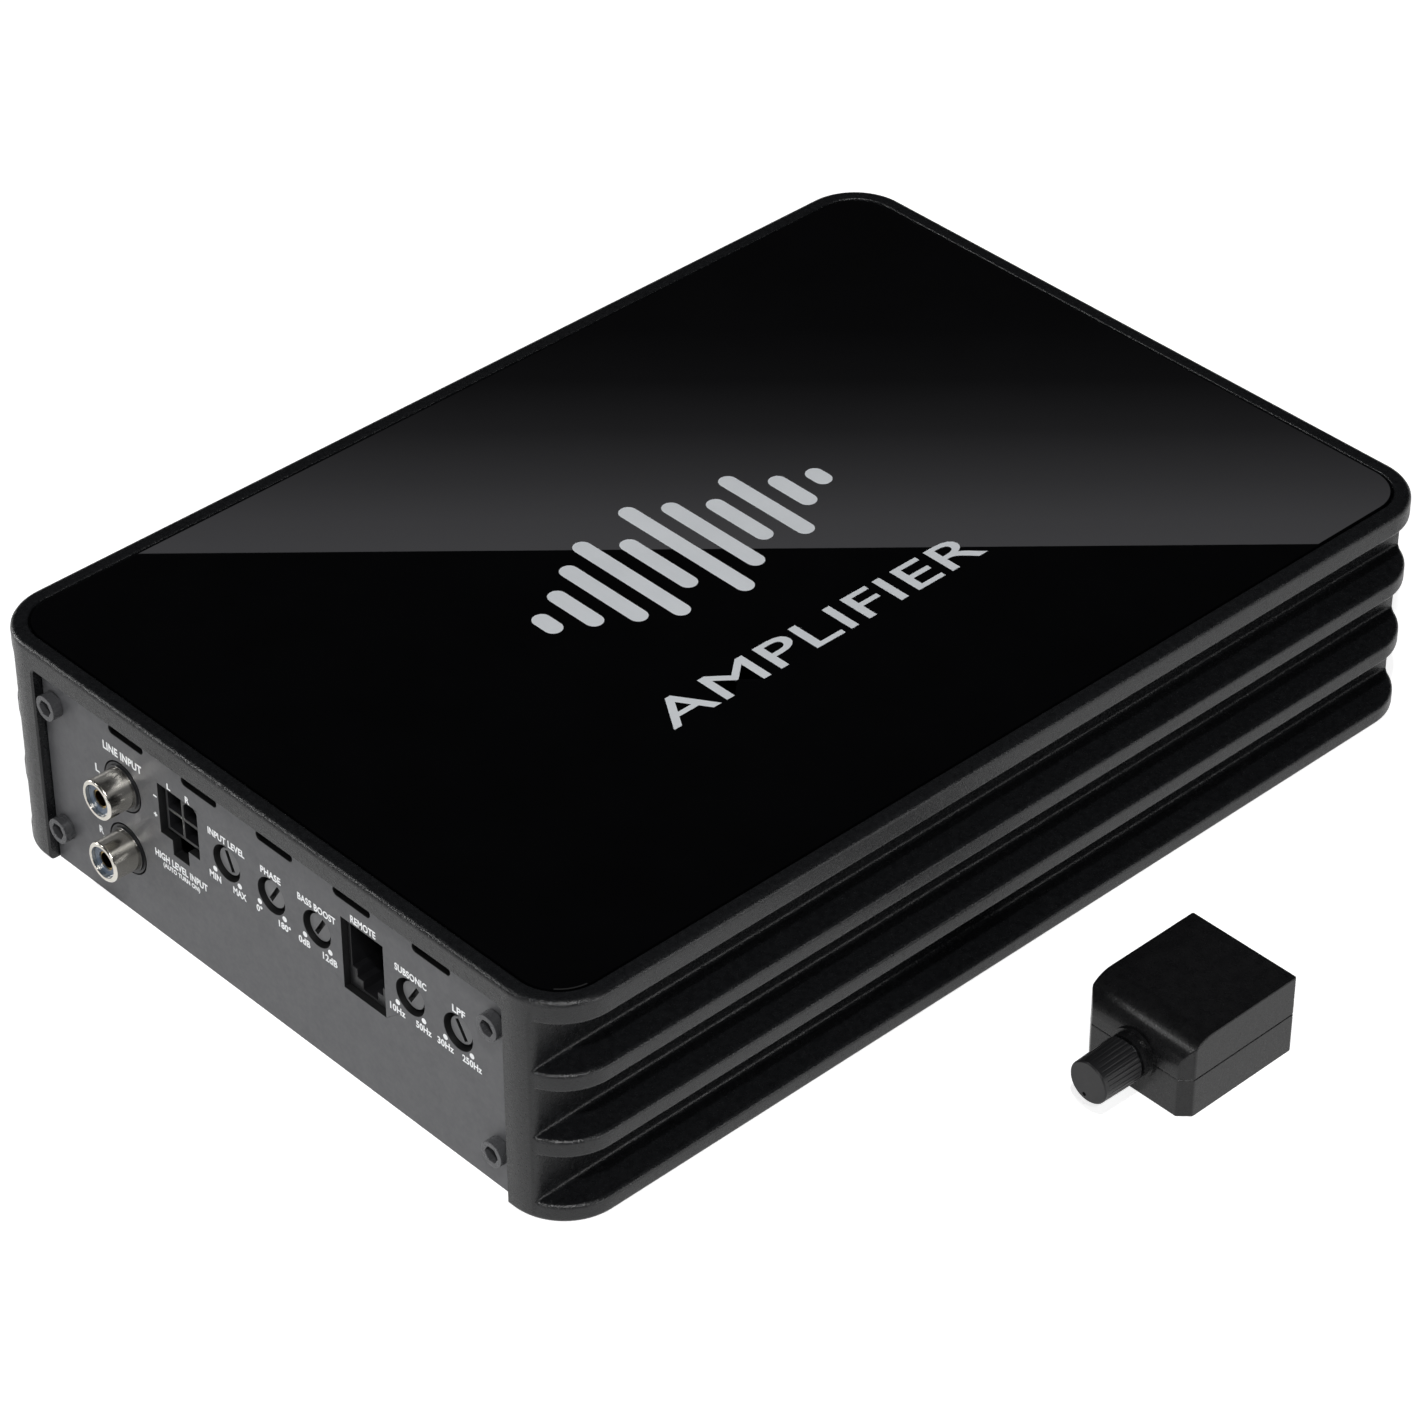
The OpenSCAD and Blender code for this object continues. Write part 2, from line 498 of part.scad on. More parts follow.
module control_shell_screws() color("#8d9096") for (p = ctl_screws) difference() {
  union() { zcyl(p[0], p[1], 0.3, 1.6, 1.85); zcyl(p[0], p[1], 1.5, 11, 1); }
  translate([p[0], p[1], 0]) { box(-1.3, 1.3, -0.25, 0.25, 0, 0.9); box(-0.25, 0.25, -1.3, 1.3, 0, 0.9); }
}
module control_inner_board() color("#166534")
  box(ctl_x - 5.6, ctl_x + 5.6, ctl_y0 + 8.7, ctl_back - 10.5, 2.4, 2.4 + board_t);
module control_pot() color("#5b6470") difference() {
  union() {
    box(ctl_x - 4.9, ctl_x + 4.9, ctl_y0 + 1.7, ctl_y0 + 8.6, ctl_z - 5.6, ctl_z + 2);
    box(ctl_x - 4.9, ctl_x + 4.9, ctl_y0 + 2.8, ctl_y0 + 8.6, ctl_z - 5.6, ctl_z + 4.6);
    ycyl(ctl_x, ctl_z, ctl_y0 - 3, ctl_y0 + 2, 3.5);
  }
  ycyl(ctl_x, ctl_z, ctl_y0 - 5, ctl_y0 + 4, 3 + run_gap);
  ycyl(ctl_x, ctl_z, ctl_y0 + 3.4, ctl_y0 + 6.4, 4.1);
}
module control_nut() color("#1b1b1d") difference() {
  union() {
    ycyl(ctl_x, ctl_z, ctl_y0 - 0.7, ctl_y0, 5.1);
    ycyl(ctl_x, ctl_z, ctl_y0 - 2.2, ctl_y0 - 0.6, 4.5);
  }
  ycyl(ctl_x, ctl_z, ctl_y0 - 3, ctl_y0 + 1, 3.55);
}
module control_shaft() color("#9ca3af") {
  ycyl(ctl_x, ctl_z, ctl_y0 - 10.2, ctl_y0 + 3.7, 3);
  ycyl(ctl_x, ctl_z, ctl_y0 + 3.6, ctl_y0 + 6.2, 3.9);
}
knob_y1 = ctl_y0 - 2.7;
knob_y0 = knob_y1 - knob_len;
module control_knob() color("#151517") difference() {
  translate([ctl_x, knob_y0, ctl_z]) rotate([-90, 0, 0]) rotate_extrude()
    polygon([[0, 0], [4.1, 0], [4.35, 0.25], [4.55, knob_len - 0.3], [4.3, knob_len], [3.7, knob_len], [3.7, knob_len - 0.6],
             [3.01, knob_len - 0.6], [3.01, knob_len - 7.7], [0, knob_len - 7.7]]);
  for (i = [0:knob_grooves - 1]) translate([ctl_x, knob_y0 + 0.9, ctl_z]) rotate([0, i*360/knob_grooves, 0])
    translate([0, 0, 4.62]) rotate([-90, 0, 0]) cylinder(r = 0.3, h = knob_len);
  translate([ctl_x, knob_y0 - 1, ctl_z]) rotate([0, 12.8, 0]) translate([0, 0, -3.15]) rotate([-90, 0, 0]) cylinder(r = 0.42, h = 1.5);
}
module control_jack() color("#202124") rotate_jack() rj_body(0, 0, 0, 10, 11, 13.4);
module rotate_jack() translate([ctl_x, ctl_back - 0.2, ctl_z]) rotate([0, 0, 180]) children();

housing();
top_plate();
plate_adhesive();
base_plate();
base_screws();
input_panel();
input_panel_screws();
output_panel();
output_panel_screws();
insulating_film();
board_standoffs();
main_board();
board_screws();
control_board();
driver_board();
driver_chips();
line_input_block();
line_input_sleeves();
line_input_insulators();
line_input_contacts();
high_level_socket();
high_level_pins();
remote_socket();
remote_socket_contacts();
level_pot();
phase_pot();
bass_pot();
subsonic_pot();
lowpass_pot();
level_rotor();
phase_rotor();
bass_rotor();
subsonic_rotor();
lowpass_rotor();
power_terminal_block();
power_terminal_inserts();
power_terminal_screws();
speaker_terminal_block();
speaker_terminal_inserts();
speaker_terminal_screws();
status_led();
power_transistors();
thermal_pads();
clamp_bars();
clamp_screws();
transformer_core();
transformer_winding();
choke_core();
choke_winding();
input_capacitors();
output_capacitors();
control_top_shell();
control_bottom_shell();
control_shell_screws();
control_inner_board();
control_pot();
control_nut();
control_shaft();
control_knob();
control_jack();
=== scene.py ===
import json
import math

import bmesh
import bpy
from mathutils import Matrix, Vector


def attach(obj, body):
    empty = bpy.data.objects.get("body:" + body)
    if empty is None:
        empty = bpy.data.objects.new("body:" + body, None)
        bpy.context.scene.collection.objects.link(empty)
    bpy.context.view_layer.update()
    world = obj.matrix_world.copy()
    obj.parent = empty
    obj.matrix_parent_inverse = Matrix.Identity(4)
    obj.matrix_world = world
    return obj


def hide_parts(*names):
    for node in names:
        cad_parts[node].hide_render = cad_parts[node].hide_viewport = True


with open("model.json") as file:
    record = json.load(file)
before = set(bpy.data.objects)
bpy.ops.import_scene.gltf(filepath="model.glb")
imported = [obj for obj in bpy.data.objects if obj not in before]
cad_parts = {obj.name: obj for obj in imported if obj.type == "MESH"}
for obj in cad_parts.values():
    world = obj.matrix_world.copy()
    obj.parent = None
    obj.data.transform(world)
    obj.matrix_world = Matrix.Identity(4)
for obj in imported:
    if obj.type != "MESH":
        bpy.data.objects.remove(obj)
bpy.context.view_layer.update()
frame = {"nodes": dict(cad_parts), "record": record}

NODES = frame["nodes"]
MM = 0.001

# ---------------------------------------------------------------- materials


def new_material(name):
    m = bpy.data.materials.new(name)
    m.use_nodes = True
    return m, m.node_tree.nodes, m.node_tree.links, m.node_tree.nodes["Principled BSDF"]


def coords(nodes, links, stretch=(1, 1, 1)):
    tc = nodes.new("ShaderNodeTexCoord")
    mp = nodes.new("ShaderNodeMapping")
    mp.inputs["Scale"].default_value = stretch
    links.new(tc.outputs["Object"], mp.inputs["Vector"])
    return mp.outputs["Vector"]


def noise(nodes, links, vec, scale, detail=3.0, rough=0.55):
    n = nodes.new("ShaderNodeTexNoise")
    n.inputs["Scale"].default_value = scale
    n.inputs["Detail"].default_value = detail
    n.inputs["Roughness"].default_value = rough
    links.new(vec, n.inputs["Vector"])
    return n.outputs["Fac"]


def ramp(nodes, links, fac, lo, hi, a, b):
    r = nodes.new("ShaderNodeValToRGB")
    r.color_ramp.elements[0].position = lo
    r.color_ramp.elements[1].position = hi
    r.color_ramp.elements[0].color = (*a, 1)
    r.color_ramp.elements[1].color = (*b, 1)
    links.new(fac, r.inputs["Fac"])
    return r.outputs["Color"]


def spread(nodes, links, fac, lo, hi):
    r = nodes.new("ShaderNodeMapRange")
    r.inputs["From Min"].default_value = 0.3
    r.inputs["From Max"].default_value = 0.7
    r.inputs["To Min"].default_value = lo
    r.inputs["To Max"].default_value = hi
    links.new(fac, r.inputs["Value"])
    return r.outputs["Result"]


def surface(name, dark, light, rough, grain, depth_mm, metallic=0.0, specular=0.5,
            tint_scale=60, stretch=(1, 1, 1), coat=0.0, strength=1.0):
    """A material whose colour, roughness and relief each vary: dark/light are the two colours, rough the two
    roughnesses, grain the relief's scale per metre and depth_mm its height."""
    m, nodes, links, p = new_material(name)
    vec = coords(nodes, links, stretch)
    links.new(ramp(nodes, links, noise(nodes, links, vec, tint_scale), 0.35, 0.65, dark, light), p.inputs["Base Color"])
    links.new(spread(nodes, links, noise(nodes, links, vec, grain * 0.31, 2.0), *rough), p.inputs["Roughness"])
    p.inputs["Metallic"].default_value = metallic
    p.inputs["Specular IOR Level"].default_value = specular
    if coat:
        p.inputs["Coat Weight"].default_value = coat
        p.inputs["Coat Roughness"].default_value = 0.08
    b = nodes.new("ShaderNodeBump")
    b.inputs["Strength"].default_value = strength
    b.inputs["Distance"].default_value = depth_mm * MM
    links.new(noise(nodes, links, vec, grain, 4.0, 0.6), b.inputs["Height"])
    links.new(b.outputs["Normal"], p.inputs["Normal"])
    return m


MAT = {
    "housing_metal": surface("powder_coat", (0.0055, 0.0058, 0.0065), (0.0095, 0.010, 0.011), (0.20, 0.30), 3600, 0.085, tint_scale=900),
    "top_glass": surface("black_glass", (0.0012, 0.0012, 0.0014), (0.0016, 0.0016, 0.0019), (0.002, 0.005), 60, 0.0001),
    "adhesive": surface("adhesive_tape", (0.02, 0.02, 0.02), (0.035, 0.035, 0.035), (0.8, 0.9), 1800, 0.03),
    "base_metal": surface("base_coat", (0.016, 0.016, 0.018), (0.024, 0.024, 0.026), (0.42, 0.55), 2200, 0.02, tint_scale=700),
    "black_screws": surface("black_oxide", (0.075, 0.076, 0.08), (0.10, 0.101, 0.106), (0.22, 0.3), 2600, 0.008, metallic=0.35),
    "panel_metal": surface("panel_satin", (0.078, 0.079, 0.084), (0.09, 0.091, 0.096), (0.4, 0.5), 3200, 0.010, tint_scale=260),
    "film": surface("fibre_film", (0.62, 0.56, 0.38), (0.72, 0.66, 0.46), (0.6, 0.7), 1500, 0.02),
    "plated_steel": surface("zinc_plate", (0.52, 0.53, 0.55), (0.68, 0.69, 0.71), (0.22, 0.36), 1800, 0.012, metallic=1.0, tint_scale=300),
    "board": surface("solder_mask", (0.008, 0.075, 0.03), (0.014, 0.12, 0.05), (0.32, 0.42), 900, 0.03),
    "component_plastic": surface("epoxy_body", (0.012, 0.012, 0.012), (0.02, 0.02, 0.02), (0.5, 0.62), 2500, 0.02),
    "connector_plastic": surface("connector_nylon", (0.007, 0.007, 0.008), (0.013, 0.013, 0.0145), (0.32, 0.44), 1400, 0.012),
    "nickel": surface("nickel_plate", (0.72, 0.69, 0.62), (0.86, 0.83, 0.76), (0.14, 0.22), 700, 0.006, metallic=1.0, tint_scale=180),
    "insulator_plastic": surface("insulator_resin", (0.075, 0.105, 0.15), (0.11, 0.145, 0.20), (0.25, 0.35), 1500, 0.01),
    "contact_brass": surface("gold_flash", (0.30, 0.20, 0.07), (0.40, 0.28, 0.11), (0.14, 0.22), 900, 0.008, metallic=1.0),
    "pot_plastic": surface("pot_body", (0.004, 0.004, 0.005), (0.009, 0.009, 0.010), (0.5, 0.6), 1800, 0.015),
    "rotor_plastic": surface("rotor_resin", (0.11, 0.111, 0.115), (0.14, 0.141, 0.145), (0.35, 0.45), 2000, 0.012),
    "led_lens": surface("led_lens", (0.03, 0.12, 0.55), (0.05, 0.18, 0.7), (0.08, 0.14), 500, 0.004, coat=0.6),
    "pad_rubber": surface("pad_rubber", (0.32, 0.33, 0.35), (0.42, 0.43, 0.46), (0.7, 0.8), 2000, 0.02),
    "ferrite": surface("ferrite", (0.035, 0.037, 0.04), (0.06, 0.062, 0.066), (0.55, 0.7), 1500, 0.03),
    "enamelled_copper": surface("copper_wire", (0.42, 0.14, 0.035), (0.62, 0.25, 0.07), (0.2, 0.32), 420, 0.10, metallic=0.9),
    "capacitor_sleeve": surface("capacitor_sleeve", (0.010, 0.014, 0.035), (0.017, 0.024, 0.055), (0.24, 0.34), 500, 0.012),
    "control_plastic": surface("control_satin", (0.0045, 0.0045, 0.005), (0.0075, 0.0075, 0.008), (0.24, 0.32), 4200, 0.010, tint_scale=500),
    "pot_metal": surface("stamped_metal", (0.36, 0.37, 0.39), (0.48, 0.49, 0.51), (0.3, 0.42), 1400, 0.012, metallic=1.0),
    "knob_plastic": surface("knob_satin", (0.008, 0.008, 0.009), (0.014, 0.014, 0.015), (0.34, 0.44), 3600, 0.012),
}
PRINT = surface("screen_print", (0.90, 0.91, 0.92), (0.95, 0.96, 0.97), (0.5, 0.6), 3000, 0.006)
TOP_PRINT = surface("under_glass_print", (0.80, 0.83, 0.86), (0.86, 0.89, 0.92), (0.14, 0.2), 2500, 0.004)

slot_of = {s["node"]: s["material_slot"] for s in frame["record"]["subparts"]}
for name, obj in NODES.items():
    obj.data.materials.clear()
    obj.data.materials.append(MAT[slot_of[name]])

# painted shade: the punched walls of the vents and openings get a near-black material, darker than the panels' faces,
# that stands in for the shade inside them
HOLE_SHADE_PAINT = surface("hole_wall_painted_shade", (0.003, 0.003, 0.0033), (0.0055, 0.0055, 0.006), (0.5, 0.6), 2500, 0.01)
for name in ("input_panel", "output_panel"):
    obj = NODES[name]
    obj.data.materials.append(HOLE_SHADE_PAINT)
    turn = obj.matrix_world.to_3x3()
    for face in obj.data.polygons:
        if abs((turn @ face.normal).normalized().y) < 0.5:
            face.material_index = 1
# painted shade likewise on the rotors' sides, and on the walls and floor of their screwdriver slots
for name in ("level_rotor", "phase_rotor", "bass_rotor", "subsonic_rotor", "lowpass_rotor"):
    obj = NODES[name]
    obj.data.materials.append(HOLE_SHADE_PAINT)
    turn = obj.matrix_world.to_3x3()
    front = min((obj.matrix_world @ v.co).y for v in obj.data.vertices)
    for face in obj.data.polygons:
        deep = (obj.matrix_world @ face.center).y - front > 0.3 * MM
        if deep or abs((turn @ face.normal).normalized().y) < 0.5:
            face.material_index = 1

# ---------------------------------------------------------------- edge breaks on the carried-over nodes


def soften(name, width_mm, segments=2, angle=32):
    o = NODES[name]
    w = o.modifiers.new("join_seams", "WELD")
    w.merge_threshold = 2e-6
    b = o.modifiers.new("edge_break", "BEVEL")
    b.width = width_mm * MM
    b.segments = segments
    b.limit_method = "ANGLE"
    b.angle_limit = math.radians(angle)
    b.use_clamp_overlap = False
    b.miter_outer = "MITER_ARC"
    n = o.modifiers.new("even_shading", "WEIGHTED_NORMAL")
    n.keep_sharp = True


for name, width in {
    "top_plate": 0.28, "control_top_shell": 0.32, "control_bottom_shell": 0.32, "input_panel": 0.10, "output_panel": 0.10,
    "input_panel_screws": 0.14, "output_panel_screws": 0.14, "line_input_sleeves": 0.14, "remote_socket": 0.10,
    "control_jack": 0.10, "power_terminal_block": 0.25, "speaker_terminal_block": 0.25,
}.items():
    soften(name, width)

# ---------------------------------------------------------------- mesh helpers


def add_mesh(name, verts, faces, material):
    me = bpy.data.meshes.new(name)
    me.from_pydata([Vector(v) * MM for v in verts], [], faces)
    me.validate()
    me.materials.append(material)
    o = bpy.data.objects.new(name, me)
    bpy.context.scene.collection.objects.link(o)
    return o


def tidy(o, merge=2e-6, sharp_deg=34):
    bm = bmesh.new()
    bm.from_mesh(o.data)
    bmesh.ops.remove_doubles(bm, verts=bm.verts, dist=merge)
    bmesh.ops.dissolve_degenerate(bm, dist=merge, edges=bm.edges)
    bmesh.ops.recalc_face_normals(bm, faces=bm.faces)
    bm.to_mesh(o.data)
    bm.free()
    for p in o.data.polygons:
        p.use_smooth = True
    o.data.set_sharp_from_angle(angle=math.radians(sharp_deg))


def ring_solid(name, rings, material):
    """A closed solid through rings that all have the same number of points."""
    n = len(rings[0])
    verts = [p for r in rings for p in r]
    faces = [[k * n + i, k * n + (i + 1) % n, (k + 1) * n + (i + 1) % n, (k + 1) * n + i]
             for k in range(len(rings) - 1) for i in range(n)]
    faces.append(list(range(n))[::-1])
    faces.append([(len(rings) - 1) * n + i for i in range(n)])
    return add_mesh(name, verts, faces, material)


def subtract(o, cutter):
    m = o.modifiers.new("cut", "BOOLEAN")
    m.operation = "DIFFERENCE"
    m.object = cutter
    m.solver = "EXACT"
    dg = bpy.context.evaluated_depsgraph_get()
    me = bpy.data.meshes.new_from_object(o.evaluated_get(dg))
    o.modifiers.clear()
    o.data = me
    bpy.data.objects.remove(cutter)


# ---------------------------------------------------------------- housing: one lofted casting
HW, HL, HH, CORNER = 79.2, 113.2, 50.0, 12.3
FLOOR_X = 71.6
GROOVES = [(3.9, 14.9), (18.9, 29.9), (33.9, 44.9)]
EDGE = 0.85


def plan_points():
    turn = math.degrees(math.acos((FLOOR_X - (HW - CORNER)) / CORNER))
    angles = [turn * i / 16 for i in range(17)] + [turn + (90 - turn) * i / 7 for i in range(1, 8)]
    quarter = []
    for a in angles:
        c, s = math.cos(math.radians(a)), math.sin(math.radians(a))
        quarter.append((HW - CORNER + CORNER * c, HL - CORNER + CORNER * s, c, s))
    out = list(quarter)
    out += [(-x, y, -c, s) for x, y, c, s in reversed(quarter)]
    out += [(-x, -y, -c, -s) for x, y, c, s in quarter]
    out += [(x, -y, c, -s) for x, y, c, s in reversed(quarter)]
    return out


PLAN = plan_points()
LEDGE = [max(0.0, (abs(x) - FLOOR_X) / abs(nx)) if abs(nx) > 1e-6 and abs(x) > FLOOR_X + 1e-6 else 0.0
         for x, y, nx, ny in PLAN]
STEPS = 4


def ring(fn):
    """fn(ledge depth) gives (inward offset, height) for a point of the plan."""
    pts = []
    for (x, y, nx, ny), d in zip(PLAN, LEDGE):
        s, z = fn(d)
        pts.append((x - nx * s, y - ny * s, z))
    return pts


def quarter_turn():
    return [(math.sin(math.pi / 2 * k / STEPS), math.cos(math.pi / 2 * k / STEPS)) for k in range(STEPS + 1)]


rings = []
for sn, cs in quarter_turn():
    rings.append(ring(lambda d, sn=sn, cs=cs: (1.0 * (1 - sn), 1.0 * (1 - cs))))
for z0, z1 in GROOVES:
    for sn, cs in quarter_turn():
        rings.append(ring(lambda d, sn=sn, cs=cs: (min(EDGE, .45 * d) * (1 - cs), z0 - min(EDGE, .45 * d) * (1 - sn))))
    for sn, cs in quarter_turn():
        rings.append(ring(lambda d, sn=sn, cs=cs: (d - min(EDGE, .45 * d) * (1 - sn), z0 + min(EDGE, .45 * d) * (1 - cs))))
    for sn, cs in quarter_turn():
        rings.append(ring(lambda d, sn=sn, cs=cs: (d - min(EDGE, .45 * d) * (1 - cs), z1 - min(EDGE, .45 * d) * (1 - sn))))
    for sn, cs in quarter_turn():
        rings.append(ring(lambda d, sn=sn, cs=cs: (min(EDGE, .45 * d) * (1 - sn), z1 + min(EDGE, .45 * d) * (1 - cs))))
for sn, cs in quarter_turn():
    rings.append(ring(lambda d, sn=sn, cs=cs: (1.2 * (1 - cs), HH - 1.2 * (1 - sn))))
for sn, cs in quarter_turn():
    rings.append(ring(lambda d, sn=sn, cs=cs: (3.4 - 0.45 + 0.45 * sn, HH - 0.45 * (1 - cs))))
rings.append(ring(lambda d: (3.4, 47.0)))

skin = ring_solid("housing_casting", rings, MAT["housing_metal"])
tidy(skin)


def block(x0, x1, y0, y1, z0, z1):
    v = [(x, y, z) for z in (z0, z1) for y in (y0, y1) for x in (x0, x1)]
    f = [(0, 2, 3, 1), (4, 5, 7, 6), (0, 1, 5, 4), (2, 6, 7, 3), (0, 4, 6, 2), (1, 3, 7, 5)]
    o = add_mesh("cutter", v, f, MAT["housing_metal"])
    tidy(o)
    return o


def recess_cutter(sign):
    """The end recess, with rounded upper corners and a small broken edge at its mouth."""
    def outline(grow):
        r = 1.1 + grow
        x, top = 65.3 + grow, 44.9 + grow
        pts = [(-x, -1.0), (x, -1.0)]
        pts += [(x - r + r * math.cos(math.pi / 2 * k / 6), top - r + r * math.sin(math.pi / 2 * k / 6)) for k in range(7)]
        pts += [(-x + r - r * math.sin(math.pi / 2 * k / 6), top - r + r * math.cos(math.pi / 2 * k / 6)) for k in range(7)]
        return pts
    levels = [(109.1, 0.0), (112.85, 0.0), (113.2, 0.35), (114.5, 0.35)]
    rs = [[(x, sign * y, z) for x, z in outline(g)] for y, g in levels]
    o = ring_solid("cutter", rs, MAT["housing_metal"])
    tidy(o)
    return o


def pocket_cutter():
    def outline(z):
        r, x, y = 6.15, 73.15, 109.05
        pts = []
        for cx, cy, a0 in ((x - r, y - r, 0), (-x + r, y - r, 90), (-x + r, -y + r, 180), (x - r, -y + r, 270)):
            pts += [(cx + r * math.cos(math.radians(a0 + 90 * k / 8)), cy + r * math.sin(math.radians(a0 + 90 * k / 8)), z) for k in range(9)]
        return pts
    o = ring_solid("cutter", [outline(-1.0), outline(1.6)], MAT["housing_metal"])
    tidy(o)
    return o


subtract(skin, recess_cutter(-1))
subtract(skin, recess_cutter(1))
subtract(skin, pocket_cutter())
subtract(skin, block(-64, 64, -109.3, 109.3, 1.0, 43.9))
tidy(skin)
skin.modifiers.new("even_shading", "WEIGHTED_NORMAL").keep_sharp = True
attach(skin, "amplifier")
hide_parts("housing")

# ---------------------------------------------------------------- printing


def text_mesh(words, weight):
    c = bpy.data.curves.new("lettering", "FONT")
    c.body = words
    c.size = 1.0
    c.offset = weight
    c.resolution_u = 4
    c.space_character = 1.04
    o = bpy.data.objects.new("lettering", c)
    bpy.context.scene.collection.objects.link(o)
    dg = bpy.context.evaluated_depsgraph_get()
    me = bpy.data.meshes.new_from_object(o.evaluated_get(dg))
    bpy.data.objects.remove(o)
    return me


def fitted(bm, words, box, place, weight=0.028):
    """Adds the words to bm, stretched into box (u0, u1, v0, v1) and put in place by place(u, v)."""
    me = text_mesh(words, weight)
    us, vs = [v.co.x for v in me.vertices], [v.co.y for v in me.vertices]
    u0, u1, v0, v1 = box
    part = bmesh.new()
    part.from_mesh(me)
    for v in part.verts:
        u = u0 + (v.co.x - min(us)) / (max(us) - min(us)) * (u1 - u0)
        w = v0 + (v.co.y - min(vs)) / (max(vs) - min(vs)) * (v1 - v0)
        v.co = Vector(place(u, w)) * MM
    tmp = bpy.data.meshes.new("part")
    part.to_mesh(tmp)
    part.free()
    bm.from_mesh(tmp)


def patch(bm, pts, place):
    bm.faces.new([bm.verts.new(Vector(place(u, v)) * MM) for u, v in pts])


def disc(bm, u, v, r, place, n=20):
    patch(bm, [(u + r * math.cos(2 * math.pi * k / n), v + r * math.sin(2 * math.pi * k / n)) for k in range(n)], place)


def printed(name, bm, material, push):
    """Gives the flat print its ink thickness along push."""
    bmesh.ops.remove_doubles(bm, verts=bm.verts, dist=1e-7)
    got = bmesh.ops.extrude_face_region(bm, geom=bm.faces[:])
    for g in got["geom"]:
        if isinstance(g, bmesh.types.BMVert):
            g.co += Vector(push) * MM
    bmesh.ops.recalc_face_normals(bm, faces=bm.faces)
    for face in bm.faces:
        face.smooth = False
    me = bpy.data.meshes.new(name)
    bm.to_mesh(me)
    bm.free()
    me.materials.append(material)
    o = bpy.data.objects.new(name, me)
    bpy.context.scene.collection.objects.link(o)
    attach(o, "amplifier")
    return o


def on_panel(u, v):
    return (u, -111.105, v)


bm = bmesh.new()
ADJ = [-12.1, 0.6, 13.3, 38.7, 51.4]
for words, x0, x1, z0, z1 in [
    ("LINE INPUT", -47.4, -36.0, 35.9, 37.8), ("L", -50.5, -49.3, 28.9, 30.7), ("R", -51.1, -49.8, 14.1, 15.8),
    ("L", -28.5, -27.5, 37.1, 38.4), ("R", -23.2, -22.0, 37.0, 38.5),
    ("HIGH LEVEL INPUT", -33.8, -18.5, 18.8, 20.5), ("(AUTO TURN ON)", -31.6, -20.9, 17.0, 18.4),
    ("INPUT LEVEL", -17.0, -6.6, 33.6, 35.2), ("PHASE", -2.05, 3.6, 33.5, 35.1), ("BASS BOOST", 8.3, 18.8, 33.5, 35.1),
    ("SUBSONIC", 34.8, 43.3, 33.5, 35.1), ("LPF", 50.1, 53.5, 33.5, 35.1), ("REMOTE", 23.1, 29.9, 37.0, 38.7),
    ("MIN", -17.4, -14.1, 23.5, 25.1), ("MAX", -10.6, -6.9, 23.5, 25.1), ("0°", -4.0, -2.3, 23.5, 25.1),
    ("180°", 2.3, 5.7, 23.5, 25.1), ("0dB", 7.9, 11.1, 23.5, 25.1), ("12dB", 14.6, 18.6, 23.5, 25.1),
    ("10Hz", 33.0, 37.1, 23.5, 25.1), ("50Hz", 40.0, 44.1, 23.5, 25.1), ("30Hz", 45.7, 50.0, 23.5, 25.1),
    ("250Hz", 52.3, 57.4, 23.5, 25.1),
]:
    fitted(bm, words, (x0, x1, z0, z1), on_panel)
for x in ADJ:
    for side in (-1, 1):
        disc(bm, x + 3.5 * side, 26.15, 0.6, on_panel)
patch(bm, [(-32.9, 33.05), (-31.9, 33.05), (-31.9, 33.4), (-32.9, 33.4)], on_panel)
patch(bm, [(-33.2, 28.65), (-32.2, 28.65), (-32.2, 29.0), (-33.2, 29.0)], on_panel)
patch(bm, [(-32.87, 29.02), (-32.53, 29.02), (-32.53, 29.32), (-32.87, 29.32)], on_panel)
patch(bm, [(-32.87, 28.33), (-32.53, 28.33), (-32.53, 28.63), (-32.87, 28.63)], on_panel)
printed("panel_lettering", bm, PRINT, (0, -0.03, 0))


def on_glass(u, v):
    """u runs along +Y and v towards -X, as the top's wording reads."""
    return (-v, u, 49.905)


bm = bmesh.new()
# a plain level meter: round-ended bars of different heights about one line
for i, h in enumerate([7, 14, 23, 31, 20, 36, 27, 17, 25, 12, 6]):
    u, r, mid = -41.0 + 1.9 + i * 6.97, 1.9, 5.6
    top = [(u + r * math.cos(math.pi * k / 10), mid + h / 2 - r + r * math.sin(math.pi * k / 10)) for k in range(11)]
    low = [(u - r * math.cos(math.pi * k / 10), mid - h / 2 + r - r * math.sin(math.pi * k / 10)) for k in range(11)]
    patch(bm, top + low, on_glass)
fitted(bm, "AMPLIFIER", (-44.0, 36.4, -34.0, -26.0), on_glass, weight=0.006)
printed("top_emblem", bm, TOP_PRINT, (0, 0, 0.03))

# ---------------------------------------------------------------- floor, light and camera


def quad(name, corners, material):
    me = bpy.data.meshes.new(name)
    me.from_pydata([Vector(c) for c in corners], [], [(0, 1, 2, 3)])
    me.materials.append(material)
    o = bpy.data.objects.new(name, me)
    bpy.context.scene.collection.objects.link(o)
    return o


m, nodes, links, p = new_material("floor_white")
p.inputs["Base Color"].default_value = (0.82, 0.82, 0.82, 1)
p.inputs["Roughness"].default_value = 0.9
p.inputs["Specular IOR Level"].default_value = 0.1
p.inputs["Emission Color"].default_value = (1, 1, 1, 1)
# full strength for the camera, less as a light, so the recesses stay dark
path = nodes.new("ShaderNodeLightPath")
level = nodes.new("ShaderNodeMapRange")
level.inputs["To Min"].default_value = 0.30
level.inputs["To Max"].default_value = 0.76
links.new(path.outputs["Is Camera Ray"], level.inputs["Value"])
links.new(level.outputs["Result"], p.inputs["Emission Strength"])
quad("floor", [(-6, -6, 0), (6, -6, 0), (6, 6, 0), (-6, 6, 0)], m)

